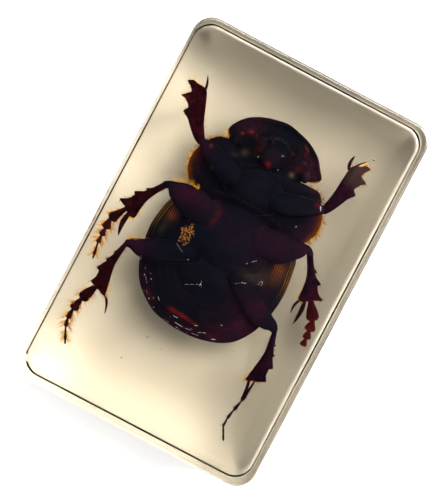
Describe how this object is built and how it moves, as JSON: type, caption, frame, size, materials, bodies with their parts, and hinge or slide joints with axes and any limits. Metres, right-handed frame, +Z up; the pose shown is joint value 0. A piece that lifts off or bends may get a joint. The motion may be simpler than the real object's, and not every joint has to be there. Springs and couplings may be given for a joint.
{
  "type": "insect in resin block",
  "caption": "Dried dung beetle sealed belly up in a clear rounded resin block, a desk specimen or paperweight that rests flat.",
  "frame": {"origin": "centre of the block's base, on the surface it rests on", "axes": "+Y along the block towards the beetle's head, +X to the right seen from above the beetle's belly, +Z up through the block's thickness"},
  "size_m": [0.041, 0.0636, 0.019],
  "materials": {
    "beetle_shell": "nearly black polished chitin with dark red legs",
    "clear_resin": "polished clear casting resin with a faint cream tint"
  },
  "bodies": {
    "root": {"beetle": "beetle_shell", "resin_lower": "clear_resin", "resin_upper": "clear_resin"}
  },
  "joints": []
}
